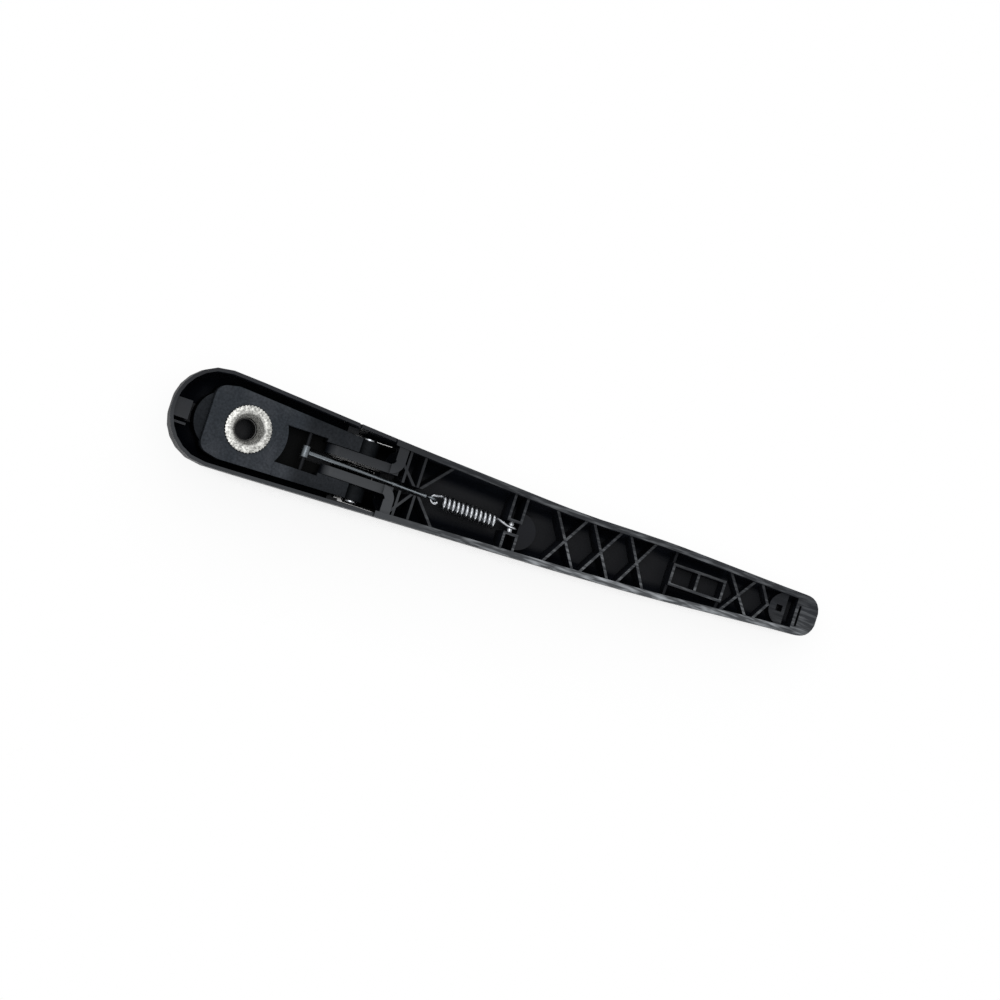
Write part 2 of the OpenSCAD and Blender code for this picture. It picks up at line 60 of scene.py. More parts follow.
bl_info = {
    "name": "Wiper Arm Dresser",
    "version": (1, 0, 0),
    "blender": (4, 5, 0),
    "location": "View3D > Sidebar > Wiper Arm",
    "description": "Finishes the mouldings, the metal parts and the studio of a rear wiper arm",
    "category": "Object",
}

MM = 0.001

# The rim keeps its height over the head, and falls along the arm to the tip.
RIM_FALL_SPAN = (68 * MM, 264 * MM)
RIM_FALL = 11.3 * MM

# Spans along the arm and across it over which the rim's grey changes, partly wear and partly
# painted highlight; across the arm it is painted highlight, palest on the -Y side.
DEPTH_SCALE_SPAN = (66 * MM, 76 * MM)
STREAKS_START = (74 * MM, 90 * MM)
WEAR_AND_HIGHLIGHT_GROW = (75 * MM, 150 * MM)
WEAR_AND_HIGHLIGHT_FADE_AT_TIP = (240 * MM, 256 * MM)
HIGHLIGHT_FADES_ACROSS = (-6 * MM, 6 * MM)

# Depths below the rim where the grey of wear and painted highlight ends, and where painted shade
# turns the inside black.
WEAR_AND_HIGHLIGHT_DEPTH = (0.8 * MM, 3.6 * MM)
PAINTED_SHADE_DEPTH = (3.5 * MM, 6 * MM)

# Upward part of a surface's normal, from a wall to a face that looks up.
FACES_UP = (0.35, 0.8)

# The head's colour is darker along its rails than on its block, and painted shade makes its pocket
# nearly black.
RAILS_START = (20 * MM, 26 * MM)
POCKET_DEPTH = (-7 * MM, -2 * MM)

# Sizes of the shaft insert's cone.
CONE_MOUTH_R = 6.8 * MM
CONE_SMALL_R = 4.9 * MM
CONE_LENGTH = 7.4 * MM
CONE_DEPTH = (-7.0 * MM, -6.6 * MM)
FACE_RING_R = (7.1 * MM, 7.9 * MM)

# Ends of the link and spring together: on the hook bar and on the spring anchor.
HOOK_BAR = Vector((26.5, -1.0, 7.1)) * MM
SPRING_ANCHOR = Vector((122.0, -3.2, 1.7)) * MM

# Middle and half size of the floor's part under the link's slot, along and across the arm, painted
# black as shade.
SLOT_ALONG = (49.5 * MM, 11.5 * MM)
SLOT_ACROSS = (-1 * MM, 6 * MM)

AIM_POINT = Vector((114.5, 6.6, 0.0)) * MM


def linear(hex_colour):
    """Linear red, green and blue of an sRGB hex colour such as 24272b."""
    def channel(pair):
        value = int(pair, 16) / 255
        return value / 12.92 if value <= 0.04045 else ((value + 0.055) / 1.055) ** 2.4
    return tuple(channel(hex_colour[i:i + 2]) for i in (0, 2, 4))


class WiperFinish(bpy.types.PropertyGroup):
    """Colours of the mouldings and metals"""

    moulding: bpy.props.FloatVectorProperty(
        name="Moulding", description="Black of the arm and the cap",
        subtype="COLOR", size=3, min=0, max=1, default=linear("0b0d12"))
    moulding_worn: bpy.props.FloatVectorProperty(
        name="Pale moulding", description="Paler tone of the flow marks in the arm and the cap",
        subtype="COLOR", size=3, min=0, max=1, default=linear("12151b"))
    # Painted shade: the near-black that up-facing faces far below the rim take, in place of the
    # shade in the recesses.
    inner: bpy.props.FloatVectorProperty(
        name="Inner black", description="Deep black of the smooth inside of the mouldings",
        subtype="COLOR", size=3, min=0, max=1, default=linear("02040a"))
    # Partly wear and partly painted highlight: this grey lightens the up-facing faces near the rim
    # and the rib tops.
    rim: bpy.props.FloatVectorProperty(
        name="Rim", description="Rubbed grey of the rim and the rib tops",
        subtype="COLOR", size=3, min=0, max=1, default=linear("a2a6aa"))
    head: bpy.props.FloatVectorProperty(
        name="Head", description="Dark grey of the glass-filled head",
        subtype="COLOR", size=3, min=0, max=1, default=linear("2c3035"))
    head_worn: bpy.props.FloatVectorProperty(
        name="Pale head", description="Paler tone of the fibres in the head",
        subtype="COLOR", size=3, min=0, max=1, default=linear("3a3d42"))
    casting: bpy.props.FloatVectorProperty(
        name="Insert", description="Bright metal of the knurled shaft insert",
        subtype="COLOR", size=3, min=0, max=1, default=linear("c2c2be"))
    zinc: bpy.props.FloatVectorProperty(
        name="Zinc plating", description="Plated steel of pins, anchor and spring",
        subtype="COLOR", size=3, min=0, max=1, default=linear("a9acb0"))
    link_steel: bpy.props.FloatVectorProperty(
        name="Link steel", description="Duller steel of the link rod",
        subtype="COLOR", size=3, min=0, max=1, default=linear("62676b"))
    black_steel: bpy.props.FloatVectorProperty(
        name="Blackened steel", description="Phosphated steel of the hook bar",
        subtype="COLOR", size=3, min=0, max=1, default=linear("1d1e20"))


class WiperSizes(bpy.types.PropertyGroup):
    """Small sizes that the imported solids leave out"""

    edge: bpy.props.FloatProperty(
        name="Moulded edge", description="Radius on the edges of the mouldings",
        subtype="DISTANCE", unit="LENGTH", min=0.00002, max=0.001, default=0.38 * MM)
    metal_edge: bpy.props.FloatProperty(
        name="Metal edge", description="Radius on the edges of pins and bars",
        subtype="DISTANCE", unit="LENGTH", min=0.00002, max=0.001, default=0.2 * MM)
    insert_edge: bpy.props.FloatProperty(
        name="Insert edge", description="Radius on the edges of the shaft insert",
        subtype="DISTANCE", unit="LENGTH", min=0.00002, max=0.001, default=0.12 * MM)
    tooth: bpy.props.FloatProperty(
        name="Tooth height", description="Height of the fine teeth in the insert's cone",
        subtype="DISTANCE", unit="LENGTH", min=0.00005, max=0.001, default=0.35 * MM)
    teeth: bpy.props.IntProperty(
        name="Teeth", description="Number of fine teeth round the insert's cone",
        min=12, max=90, default=48)
    wire_steps: bpy.props.IntProperty(
        name="Steps a turn", description="Straight steps in one turn of the spring",
        min=12, max=48, default=28)
    wire_sides: bpy.props.IntProperty(
        name="Sides of the wire", description="Sides round the spring's wire",
        min=6, max=32, default=12)


class WiperStudio(bpy.types.PropertyGroup):
    """Camera and light"""

    lens: bpy.props.FloatProperty(
        name="Lens", description="Focal length of the camera in millimetres",
        min=50, max=400, default=200)
    tilt: bpy.props.FloatProperty(
        name="Tilt", description="Angle between the view and the shaft axis",
        subtype="ANGLE", unit="ROTATION", default=math.radians(13.5))
    turn: bpy.props.FloatProperty(
        name="Turn", description="Angle of the arm below the horizontal of the picture",
        subtype="ANGLE", unit="ROTATION", default=math.radians(18.29))
    width: bpy.props.FloatProperty(
        name="Width", description="Real width across the picture, in the arm's plane",
        subtype="DISTANCE", unit="LENGTH", default=0.4255)
    key: bpy.props.FloatProperty(
        name="Key light", description="Power of the soft light over the arm, in watts",
        min=0, max=200, default=30)
    glint: bpy.props.FloatProperty(
        name="Glint light",
        description="Power of each narrow light that draws the edges, in watts",
        min=0, max=50, default=1.6)
    under: bpy.props.FloatProperty(
        name="Under light", description="Power of the soft light below the arm, in watts",
        min=0, max=200, default=18)
    ambient: bpy.props.FloatProperty(
        name="Ambient light", description="Strength of the even light from all round",
        min=0, max=2, default=0.45)
    shadow: bpy.props.FloatProperty(
        name="Shadow", description="How dark the shadow on the floor is beside the arm",
        min=0, max=1, default=0.07)
    shadow_reach: bpy.props.FloatProperty(
        name="Shadow reach", description="How far the shadow spreads over the floor",
        subtype="DISTANCE", unit="LENGTH", min=0.001, max=0.3, default=60 * MM)


def add_node(tree, kind, inputs=(), **settings):
    """Adds a shader node with its settings, and links or sets its inputs, (input, source) each."""
    node = tree.nodes.new(kind)
    for key, value in settings.items():
        if key in node.inputs:
            node.inputs[key].default_value = value
        else:
            setattr(node, key, value)
    for name, source in inputs:
        if isinstance(source, bpy.types.NodeSocket):
            tree.links.new(source, node.inputs[name])
        else:
            node.inputs[name].default_value = source
    return node


def ramp(tree, value, span, low=0.0, high=1.0):
    """Goes from low to high while the value goes through the span."""
    return add_node(tree, "ShaderNodeMapRange", [
        ("Value", value), ("From Min", span[0]), ("From Max", span[1]),
        ("To Min", low), ("To Max", high)]).outputs["Result"]


def maths(tree, operation, *values, clamp=False):
    """Result of one operation on sockets and numbers."""
    return add_node(tree, "ShaderNodeMath", list(enumerate(values)),
                    operation=operation, use_clamp=clamp).outputs[0]


def product(tree, first, *others):
    """Sockets multiplied in their order."""
    for other in others:
        first = maths(tree, "MULTIPLY", first, other)
    return first


def noise(tree, place, size, detail, roughness):
    """Noise with features of a real size."""
    return add_node(tree, "ShaderNodeTexNoise", [("Vector", place)],
                    Scale=1 / size, Detail=detail, Roughness=roughness).outputs["Fac"]


def blend_colours(tree, factor, first, second):
    """Colour between two, each a socket or a linear colour."""
    return add_node(tree, "ShaderNodeMix", [("Factor", factor), ("A", first), ("B", second)],
                    data_type="RGBA").outputs["Result"]


def object_place(tree):
    """Place on the piece itself, in metres."""
    return add_node(tree, "ShaderNodeTexCoord").outputs["Object"]


def axes_of(tree, vector):
    """The three parts of a vector."""
    parts = add_node(tree, "ShaderNodeSeparateXYZ", [("Vector", vector)])
    return [parts.outputs[axis] for axis in "XYZ"]


def empty_nodes(holder):
    """Node tree of a material or a world, with nothing in it."""
    holder.use_nodes = True
    holder.node_tree.nodes.clear()
    return holder.node_tree


def new_material(name):
    """Empty node material with its output and a Principled shader."""
    material = bpy.data.materials.new(name)
    tree = empty_nodes(material)
    shader = add_node(tree, "ShaderNodeBsdfPrincipled")
    add_node(tree, "ShaderNodeOutputMaterial", [("Surface", shader.outputs["BSDF"])])
    return material, tree, shader


def grained(tree, shader, grain, roughness, strength, relief):
    """Lets a grain vary the roughness within its span, and gives the surface its fine relief."""
    tree.links.new(ramp(tree, grain, (0, 1), *roughness), shader.inputs["Roughness"])
    bump = add_node(tree, "ShaderNodeBump", [("Height", grain)],
                    Strength=strength, Distance=relief)
    tree.links.new(bump.outputs["Normal"], shader.inputs["Normal"])


def base_colour(material):
    """The Principled shader's colour input, with the socket that feeds it."""
    shader = next(n for n in material.node_tree.nodes if n.type == "BSDF_PRINCIPLED")
    entry = shader.inputs["Base Color"]
    return entry, entry.links[0].from_socket


def shade_base(material, level):
    """Multiplies the base colour by a level that changes over the surface."""
    tree = material.node_tree
    entry, colour = base_colour(material)
    shaded = add_node(tree, "ShaderNodeVectorMath", [("Vector", colour), ("Scale", level)],
                      operation="SCALE")
    tree.links.new(shaded.outputs["Vector"], entry)


def worn_highlit_and_shaded(tree, place, colour, inner_shade_colour, rim_wear_and_highlight_colour, share):
    """Colour that turns grey on faces that look up near the rim, partly as wear and partly as
    painted highlight, and turns near black far below it as painted shade.
    """
    along, across, height = axes_of(tree, place)
    rim_height = ramp(tree, along, RIM_FALL_SPAN, cad_high.z, cad_high.z - RIM_FALL)
    head_share = 0.35
    depth = product(tree, maths(tree, "SUBTRACT", rim_height, height),
                    ramp(tree, along, DEPTH_SCALE_SPAN, head_share))
    near = ramp(tree, depth, WEAR_AND_HIGHLIGHT_DEPTH, share, 0.0)
    normal = add_node(tree, "ShaderNodeTexCoord").outputs["Normal"]
    up = ramp(tree, axes_of(tree, normal)[2], FACES_UP)

    # Streaks along the arm, partly scuff marks and partly painted highlight.
    stretched = add_node(tree, "ShaderNodeMapping", [("Vector", place)], Scale=(0.12, 1, 1))
    scuffs_and_glints = noise(tree, stretched.outputs["Vector"], 1.3 * MM, 2.0, 0.6)
    faintest, even_grey = 0.16, 0.38
    streaks = add_node(tree, "ShaderNodeMix", [
        ("Factor", ramp(tree, along, STREAKS_START)),
        ("A", even_grey), ("B", ramp(tree, scuffs_and_glints, (0.45, 0.72), faintest))],
        data_type="FLOAT").outputs["Result"]
    at_hinge, far_side, at_tip = 0.3, 0.3, 0.5
    # Painted highlight: across the arm the grey is strongest on the -Y side, as if lit from there.
    wear_and_highlight_share = product(tree, near, up, streaks,
                   ramp(tree, along, WEAR_AND_HIGHLIGHT_GROW, at_hinge),
                   ramp(tree, across, HIGHLIGHT_FADES_ACROSS, 1.0, far_side),
                   ramp(tree, along, WEAR_AND_HIGHLIGHT_FADE_AT_TIP, 1.0, at_tip))

    # Painted shade: faces that look up far below the rim turn near black.
    blackest = 0.85
    deep = product(tree, ramp(tree, depth, PAINTED_SHADE_DEPTH, 0.0, blackest), up)
    inside = blend_colours(tree, deep, colour, (*inner_shade_colour, 1))
    return blend_colours(tree, wear_and_highlight_share, inside, (*rim_wear_and_highlight_colour, 1))


def moulded_plastic(name, colour, pale, grain_size, roughness, specular, wear_highlight_and_shade=None):
    """Moulded thermoplastic: an even fine erosion grain, faint flow marks and a satin sheen."""
    material, tree, shader = new_material(name)
    place = object_place(tree)
    flow = noise(tree, place, 14 * MM, 3.0, 0.55)
    grain = noise(tree, place, grain_size, 2.0, 0.6)
    tone = blend_colours(tree, ramp(tree, flow, (0.42, 0.72)), (*colour, 1), (*pale, 1))
    if wear_highlight_and_shade is not None:
        tone = worn_highlit_and_shaded(tree, place, tone, *wear_highlight_and_shade)
    tree.links.new(tone, shader.inputs["Base Color"])
    grained(tree, shader, grain, (roughness - 0.07, roughness + 0.08), 0.35, 0.04 * MM)
    shader.inputs["IOR"].default_value = 1.5
    shader.inputs["Specular IOR Level"].default_value = specular
    return material


def plated_metal(name, colour, grain_size, roughness, relief, shade=0.8):
    """Metal surface: fully metallic, with a darker grain that breaks up its reflections."""
    material, tree, shader = new_material(name)
    grain = noise(tree, object_place(tree), grain_size, 3.0, 0.65)
    tone = blend_colours(tree, ramp(tree, grain, (0.4, 0.6)),
                         (*[shade * c for c in colour], 1), (*colour, 1))
    tree.links.new(tone, shader.inputs["Base Color"])
    grained(tree, shader, grain, (roughness - 0.1, roughness + 0.12), 0.6, relief)
    shader.inputs["Metallic"].default_value = 1.0
    return material


def arm_black(finish):
    """Black glass-filled PBT from an eroded tool: satin, grey along its top edges, partly wear and
    partly painted highlight.
    """
    return moulded_plastic("moulded_black_pbt", finish.moulding, finish.moulding_worn,
                           0.5 * MM, 0.48, 0.13, (finish.inner, finish.rim, 1.0))


def cap_black(finish):
    """Black ABS of the cap: a little glossier than the arm, with less of the grey of wear and
    painted highlight on its edges.
    """
    return moulded_plastic("moulded_black_abs", finish.moulding, finish.moulding_worn,
                           0.6 * MM, 0.44, 0.13, (finish.inner, finish.rim, 0.6))


def head_grey(finish, face_z):
    """Dark grey glass-filled nylon: dull, palest on the face that meets the body, darker along the
    rails, and dark inside with painted shade.
    """
    material = moulded_plastic("glass_filled_nylon", finish.head, finish.head_worn,
                               0.7 * MM, 0.55, 0.04)
    tree = material.node_tree
    place = object_place(tree)
    along, _, height = axes_of(tree, place)
    pocket_shade_level, rail_level = 0.04, 0.42
    pocket = [face_z + depth for depth in POCKET_DEPTH]
    fibres = noise(tree, place, 1.1 * MM, 2.0, 0.7)
    # Painted shade: the pocket below the face turns nearly black.
    shade_base(material, product(tree, ramp(tree, height, pocket, pocket_shade_level),
                                 ramp(tree, along, RAILS_START, 1.0, rail_level),
                                 ramp(tree, fibres, (0.3, 0.7), 0.7, 1.3)))
    return material


def cast_zinc(finish, face_z):
    """Bright tumbled zinc casting: a sparkling face, a grey matt cone, and a bore made dark with
    painted shade.
    """
    material = plated_metal("tumbled_zinc_casting", finish.casting,
                            0.9 * MM, 0.42, 0.15 * MM, 0.35)
    tree = material.node_tree
    along, across, height = axes_of(tree, object_place(tree))
    flat = add_node(tree, "ShaderNodeCombineXYZ", [("X", along), ("Y", across)])
    radius = add_node(tree, "ShaderNodeVectorMath", [("Vector", flat.outputs["Vector"])],
                      operation="LENGTH").outputs["Value"]
    bore_shade_level, cone_level = 0.02, 0.95
    # Painted shade: the bore below the cone turns nearly black.
    cone = ramp(tree, height, [face_z + depth for depth in CONE_DEPTH], bore_shade_level, cone_level)
    face = ramp(tree, radius, FACE_RING_R)
    shade_base(material, maths(tree, "MAXIMUM", cone, face))
    tree.links.new(face, base_colour(material)[0].node.inputs["Metallic"])
    return material


def zinc_plate(finish):
    """Zinc-plated steel: smooth and bright."""
    return plated_metal("zinc_plated_steel", finish.zinc, 0.5 * MM, 0.28, 0.01 * MM)


def phosphated_steel(finish):
    """Steel bar with a black phosphate coat: dull and dark."""
    return plated_metal("phosphated_steel", finish.black_steel, 0.4 * MM, 0.5, 0.01 * MM)


def plain_steel(finish):
    """Drawn steel rod under a thin dull plating."""
    return plated_metal("drawn_steel_rod", finish.link_steel, 0.4 * MM, 0.36, 0.015 * MM)


def mesh_of(work, name):
    """Turns a finished bmesh into a mesh."""
    mesh = bpy.data.meshes.new(name)
    work.to_mesh(mesh)
    work.free()
    return mesh


def placed(name, data):
    """Object of some data, in the scene."""
    piece = bpy.data.objects.new(name, data)
    bpy.context.scene.collection.objects.link(piece)
    return piece


def finished(name, mesh, material, body, nodes):
    """Makes a piece of a mesh, gives it its finish, and lets it ride on a body for its nodes."""
    piece = placed(name, mesh)
    mesh.materials.clear()
    mesh.materials.append(material)
    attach(piece, body)
    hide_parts(*nodes)
    return piece


def smooth_between(work, angle):
    """Shades the faces smooth and keeps the edges sharper than the angle as creases."""
    for face in work.faces:
        face.smooth = True
    for edge in work.edges:
        edge.smooth = len(edge.link_faces) == 2 and edge.calc_face_angle(0) < angle


def softened_copy(node, edge_radius, corner=math.radians(38)):
    """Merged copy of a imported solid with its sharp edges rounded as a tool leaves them."""
    work = bmesh.new()
    work.from_mesh(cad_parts[node].data)
    bmesh.ops.remove_doubles(work, verts=work.verts, dist=1e-6)
    bmesh.ops.dissolve_limit(work, angle_limit=math.radians(0.4), verts=work.verts,
                             edges=work.edges)
    sharp = [e for e in work.edges if len(e.link_faces) == 2 and e.calc_face_angle(0) > corner]
    bmesh.ops.bevel(work, geom=sharp, offset=edge_radius, offset_type="OFFSET", affect="EDGES",
                    segments=2, profile=0.5, material=-1, clamp_overlap=True)
    smooth_between(work, math.radians(32))
    return mesh_of(work, node + "_soft")


def keep_flats(piece):
    """Lets the large faces set the shading of the rounded edges beside them."""
    modifier = piece.modifiers.new("flats", "WEIGHTED_NORMAL")
    modifier.keep_sharp = True
    modifier.weight = 80


class WIPERARM_OT_mouldings(bpy.types.Operator):
    """Dress the arm, the cap and the head"""

    bl_idname = "wiperarm.mouldings"
    bl_label = "Mouldings"

    def execute(self, context):
        finish = context.scene.wiper_finish
        face_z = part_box("head")[1].z
        for node, slot, material in (
                ("arm", "moulded_arm", arm_black(finish)),
                ("cap", "moulded_cap", cap_black(finish)),
                ("head", "moulded_head", head_grey(finish, face_z))):
            mesh = softened_copy(node, context.scene.wiper_sizes.edge)
            keep_flats(finished(node + "_moulding", mesh, material, node, [node]))
        return {"FINISHED"}


class WIPERARM_OT_insert(bpy.types.Operator):
    """Dress the shaft insert and cut fine teeth in its cone"""

    bl_idname = "wiperarm.insert"
    bl_label = "Shaft insert"

    def execute(self, context):
        scene = context.scene
        sizes = scene.wiper_sizes
        mesh = softened_copy("shaft_insert", sizes.insert_edge, math.radians(50))
        work = bmesh.new()
        work.from_mesh(mesh)
        face_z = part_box("shaft_insert")[1].z
        root = 0.1 * MM
        fill, taper = 0.55, 0.7
        half = CONE_MOUTH_R * math.pi / sizes.teeth * fill
        top = face_z - 0.15 * MM
        foot = top - CONE_LENGTH
        ridge = [work.verts.new(co) for co in (
            (CONE_MOUTH_R + root, -half, top), (CONE_MOUTH_R + root, half, top),
            (CONE_MOUTH_R - sizes.tooth, 0, top),
            (CONE_SMALL_R + root, -half * taper, foot), (CONE_SMALL_R + root, half * taper, foot),
            (CONE_SMALL_R - sizes.tooth, 0, foot))]
        faces = [work.faces.new([ridge[i] for i in loop]) for loop in (
            (0, 1, 2), (5, 4, 3), (0, 2, 5, 3), (2, 1, 4, 5), (1, 0, 3, 4))]
        bmesh.ops.recalc_face_normals(work, faces=faces)
        edges = {e for f in faces for e in f.edges}
        bmesh.ops.spin(work, geom=[*ridge, *edges, *faces], cent=(0, 0, 0), axis=(0, 0, 1),
                       dvec=(0, 0, 0), angle=math.tau * (sizes.teeth - 1) / sizes.teeth,
                       steps=sizes.teeth - 1, use_duplicate=True)
        work.to_mesh(mesh)
        work.free()
        finished("shaft_insert_toothed", mesh, cast_zinc(scene.wiper_finish, face_z), "head",
                 ["shaft_insert"])
        return {"FINISHED"}


class WIPERARM_OT_pins(bpy.types.Operator):
    """Dress the hinge pins, the hook bar, the spring anchor and the link"""

    bl_idname = "wiperarm.pins"
    bl_label = "Pins and link"

    def execute(self, context):
        finish = context.scene.wiper_finish
        bright = zinc_plate(finish)
        dull = plain_steel(finish)
        black = phosphated_steel(finish)
        for node, body, slot, material in (
                ("hinge_pin_left", "head", "pin_steel", bright),
                ("hinge_pin_right", "head", "pin_steel", bright),
                ("hook_bar", "head", "pin_steel", black),
                ("spring_anchor", "arm", "pin_steel", bright),
                ("link", "link", "link_steel", dull)):
            mesh = softened_copy(node, context.scene.wiper_sizes.metal_edge, math.radians(50))
            finished(node + "_plated", mesh, material, body, [node])
        return {"FINISHED"}


def eased_line(line, *bends):
    """Rounds the bends of a line of points, and leaves the rest where it is."""
    for _ in range(4):
        before = [p.copy() for p in line]
        for bend in bends:
            for i in bend:
                line[i] = (before[i - 1] + 2 * before[i] + before[i + 1]) / 4
    return line


def swept(path, radius, sides):
    """Round wire: one ring drawn along the path, extruded and turned at each step."""
    work = bmesh.new()
    ahead = (path[1] - path[0]).normalized()
    turn = ahead.to_track_quat("Z", "Y").to_matrix().to_4x4()
    made = bmesh.ops.create_circle(work, cap_ends=False, radius=radius, segments=sides,
                                   matrix=Matrix.Translation(path[0]) @ turn)
    ring = list(made["verts"])
    edges = [e for e in work.edges if all(v in ring for v in e.verts)]
    bmesh.ops.contextual_create(work, geom=edges)
    for i in range(1, len(path)):
        behind = ahead
        ahead = (path[min(i + 1, len(path) - 1)] - path[i - 1]).normalized()
        swing = behind.rotation_difference(ahead).to_matrix().to_4x4()
        grown = bmesh.ops.extrude_edge_only(work, edges=edges)["geom"]
        ring = [g for g in grown if isinstance(g, bmesh.types.BMVert)]
        edges = [g for g in grown if isinstance(g, bmesh.types.BMEdge)]
        carry = Matrix.Translation(path[i]) @ swing @ Matrix.Translation(-path[i - 1])
        bmesh.ops.transform(work, matrix=carry, verts=ring)
    bmesh.ops.contextual_create(work, geom=edges)
    bmesh.ops.recalc_face_normals(work, faces=work.faces)
    smooth_between(work, math.radians(50))
    return mesh_of(work, "wire")


class WIPERARM_OT_spring(bpy.types.Operator):
    """Wind the pull spring, with its flat hook in the link and its upright hook on the anchor"""

    bl_idname = "wiperarm.spring"
    bl_label = "Spring"

    def execute(self, context):
        sizes = context.scene.wiper_sizes
        pull = SPRING_ANCHOR - HOOK_BAR
        line = self.wire_line(pull.length, sizes.wire_steps)
        yaw = math.atan2(pull.y, pull.x)
        dip = math.asin(-pull.z / pull.length)
        lie = (Matrix.Translation(HOOK_BAR) @ Matrix.Rotation(yaw, 4, "Z")
               @ Matrix.Rotation(dip, 4, "Y"))
        wire_r = 0.7 * MM
        mesh = swept([lie @ p for p in line], wire_r, sizes.wire_sides)
        finished("pull_spring", mesh, zinc_plate(context.scene.wiper_finish), "link", ["spring"])
        return {"FINISHED"}

    def wire_line(self, length, steps):
        """Middle line of the wire along X: loop in the link, coil, eye on the anchor."""
        loop_r, coil_r, eye_r = 1.7 * MM, 2.8 * MM, 2.1 * MM
        turns, pitch, start_turn = 12, 2.1 * MM, math.radians(60)
        end = length - eye_r - 5 * MM
        start = end - turns * pitch
        loop_x = start - 3.3 * MM

        def around(degrees, radius):
            """Sideways and upright parts of a point on a circle."""
            return (radius * math.cos(math.radians(degrees)),
                    radius * math.sin(math.radians(degrees)))

        loop = [(loop_x + x, y, 0) for x, y in (around(a, loop_r) for a in range(-30, -271, -12))]
        coil = [(start + pitch * i / steps,
                 coil_r * math.sin(math.tau * i / steps + start_turn),
                 -coil_r * math.cos(math.tau * i / steps + start_turn))
                for i in range(turns * steps + 1)]
        eye = [(length + x, 0, z) for x, z in (around(a, eye_r) for a in range(140, -91, -11))]
        line = [*loop, (start - 1 * MM, coil_r * 0.5, -0.6 * MM),
                *coil, (end + 1.2 * MM, coil_r * 0.45, -0.5 * MM), *eye]
        near_eye = len(line) - len(eye)
        return eased_line([Vector(p) for p in line], range(len(loop) - 4, len(loop) + 5),
                          range(near_eye - 6, near_eye + 4))


def area_light(name, offset, size, power):
    """Soft square light beside the middle of the part, looking at it."""
    middle = (cad_low + cad_high) / 2
    data = bpy.data.lights.new(name, "AREA")
    data.shape = "RECTANGLE"
    data.size, data.size_y = size
    data.energy = power
    light = placed(name, data)
    light.location = middle + Vector(offset)
    light.rotation_mode = "QUATERNION"
    light.rotation_quaternion = (-Vector(offset)).to_track_quat("-Z", "Y")


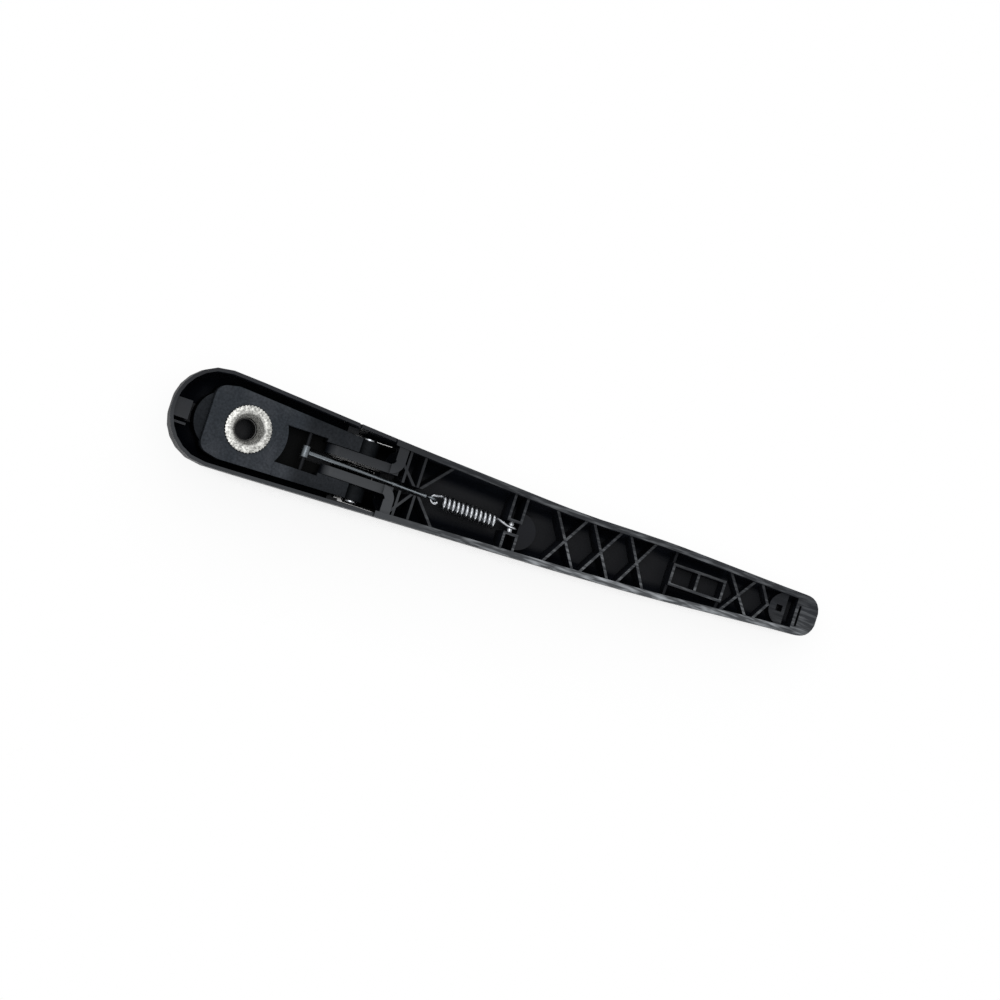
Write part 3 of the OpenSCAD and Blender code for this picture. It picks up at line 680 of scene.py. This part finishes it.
class WIPERARM_OT_stage(bpy.types.Operator):
    """Set the camera, the lights and the pale floor"""

    bl_idname = "wiperarm.stage"
    bl_label = "Studio"

    def execute(self, context):
        scene = context.scene
        studio = scene.wiper_studio
        self.aim_camera(scene, studio)
        self.lay_floor(studio)
        self.light_world(scene, studio)
        area_light("overhead_softbox", (-0.5, 0.15, 2.6), (1.6, 1.6), studio.key)
        area_light("front_strip", (0.35, -0.75, 0.5), (0.5, 0.08), studio.glint)
        area_light("under_softbox", (0.3, -0.5, -1.8), (1.2, 1.2), studio.under)
        area_light("back_strip", (0.0, 0.8, 0.55), (0.5, 0.08), studio.glint)
        return {"FINISHED"}

    def aim_camera(self, scene, studio):
        """Looks at the arm as the photograph does: turned in the picture, tilted to the left."""
        data = bpy.data.cameras.new("camera")
        data.lens = studio.lens
        data.sensor_width = 36
        data.clip_start, data.clip_end = 0.05, 20
        distance = data.lens / data.sensor_width * studio.width
        along = Vector((math.cos(studio.turn), math.sin(studio.turn), 0))
        up = Vector((-along.y, along.x, 0))
        back = Vector((0, 0, 1)) * math.cos(studio.tilt) - along * math.sin(studio.tilt)
        right = up.cross(back)
        camera = placed("camera", data)
        camera.matrix_world = Matrix.Translation(AIM_POINT + back * distance) @ Matrix(
            (right, up, back)).transposed().to_4x4()
        scene.camera = camera

    def lay_floor(self, studio):
        """White floor: a clear film with a shade on it, so that a lowered arm shows through."""
        half_side, below = 3.0, 0.1 * MM
        work = bmesh.new()
        bmesh.ops.create_grid(work, x_segments=1, y_segments=1, size=half_side,
                              matrix=Matrix.Translation((0.11, 0, cad_low.z - below)))
        mesh = mesh_of(work, "floor")
        floor = placed("floor", mesh)
        material = bpy.data.materials.new("white_film_floor")
        tree = empty_nodes(material)
        surface = self.film(tree, self.floor_shade(tree, studio))
        add_node(tree, "ShaderNodeOutputMaterial", [("Surface", surface)])
        mesh.materials.append(material)

    def floor_shade(self, tree, studio):
        """Level of the floor, a painted shadow: faint beside the arm, black where covered, and
        painted black under the slot.
        """
        lean = add_node(tree, "ShaderNodeCombineXYZ", X=-0.1, Y=0.5, Z=0.86)
        open_sky = add_node(tree, "ShaderNodeAmbientOcclusion",
                            [("Normal", lean.outputs["Vector"])],
                            samples=24, Distance=studio.shadow_reach).outputs["AO"]
        faint = ramp(tree, open_sky, (0.3, 0.95), 1 - studio.shadow)
        covered = ramp(tree, open_sky, (0.14, 0.3))
        along, across, _ = axes_of(tree, object_place(tree))
        slot_shade_patch = product(tree, maths(tree, "COMPARE", along, *SLOT_ALONG),
                             maths(tree, "COMPARE", across, *SLOT_ACROSS))
        return maths(tree, "SUBTRACT", product(tree, faint, covered), slot_shade_patch, clamp=True)

    def film(self, tree, shade):
        """Clear to the camera and to the lights, paper to bounced light, and gone from below."""
        def between(factor, first, second):
            return add_node(tree, "ShaderNodeMixShader", [
                (0, factor), (1, first), (2, second)]).outputs["Shader"]

        rays = add_node(tree, "ShaderNodeLightPath")
        below = add_node(tree, "ShaderNodeNewGeometry").outputs["Backfacing"]
        tinted = add_node(tree, "ShaderNodeBsdfTransparent", [("Color", shade)]).outputs["BSDF"]
        clear = add_node(tree, "ShaderNodeBsdfTransparent").outputs["BSDF"]
        paper = add_node(tree, "ShaderNodeBsdfDiffuse", Color=(0.8, 0.8, 0.8, 1)).outputs["BSDF"]
        bounced = between(rays.outputs["Is Shadow Ray"], paper, clear)
        top = between(rays.outputs["Is Camera Ray"], bounced, tinted)
        return between(below, top, clear)

    def light_world(self, scene, studio):
        """Even soft light, with a white background for the camera and for reflections."""
        scene.world = bpy.data.worlds.new("studio")
        tree = empty_nodes(scene.world)
        rays = add_node(tree, "ShaderNodeLightPath")
        seen = maths(tree, "MAXIMUM", rays.outputs["Is Camera Ray"], rays.outputs["Is Glossy Ray"])
        white = add_node(tree, "ShaderNodeBackground",
                         [("Strength", ramp(tree, seen, (0, 1), studio.ambient, 1.0))],
                         Color=(1, 1, 1, 1))
        add_node(tree, "ShaderNodeOutputWorld", [("Surface", white.outputs["Background"])])
        scene.view_settings.view_transform = "Standard"


class WIPERARM_PT_panel(bpy.types.Panel):
    """Sidebar list of the dressing steps"""

    bl_label = "Wiper Arm"
    bl_idname = "WIPERARM_PT_panel"
    bl_space_type = "VIEW_3D"
    bl_region_type = "UI"
    bl_category = "Wiper Arm"

    def draw(self, context):
        scene = context.scene
        for settings in (scene.wiper_finish, scene.wiper_sizes, scene.wiper_studio):
            for name in settings.__annotations__:
                self.layout.prop(settings, name)
        for operator in OPERATORS:
            self.layout.operator(operator.bl_idname)


OPERATORS = (
    WIPERARM_OT_mouldings,
    WIPERARM_OT_insert,
    WIPERARM_OT_pins,
    WIPERARM_OT_spring,
    WIPERARM_OT_stage,
)
CLASSES = (WiperFinish, WiperSizes, WiperStudio, *OPERATORS, WIPERARM_PT_panel)


def register():
    """Registers the classes and puts their settings on the scene."""
    for cls in CLASSES:
        bpy.utils.register_class(cls)
    bpy.types.Scene.wiper_finish = bpy.props.PointerProperty(type=WiperFinish)
    bpy.types.Scene.wiper_sizes = bpy.props.PointerProperty(type=WiperSizes)
    bpy.types.Scene.wiper_studio = bpy.props.PointerProperty(type=WiperStudio)


def unregister():
    """Takes the settings and the classes away again."""
    del bpy.types.Scene.wiper_studio
    del bpy.types.Scene.wiper_sizes
    del bpy.types.Scene.wiper_finish
    for cls in reversed(CLASSES):
        bpy.utils.unregister_class(cls)


def main():
    """Runs every step in order."""
    register()
    bpy.ops.wiperarm.mouldings()
    bpy.ops.wiperarm.insert()
    bpy.ops.wiperarm.pins()
    bpy.ops.wiperarm.spring()
    bpy.ops.wiperarm.stage()


if __name__ == "__main__":
    main()
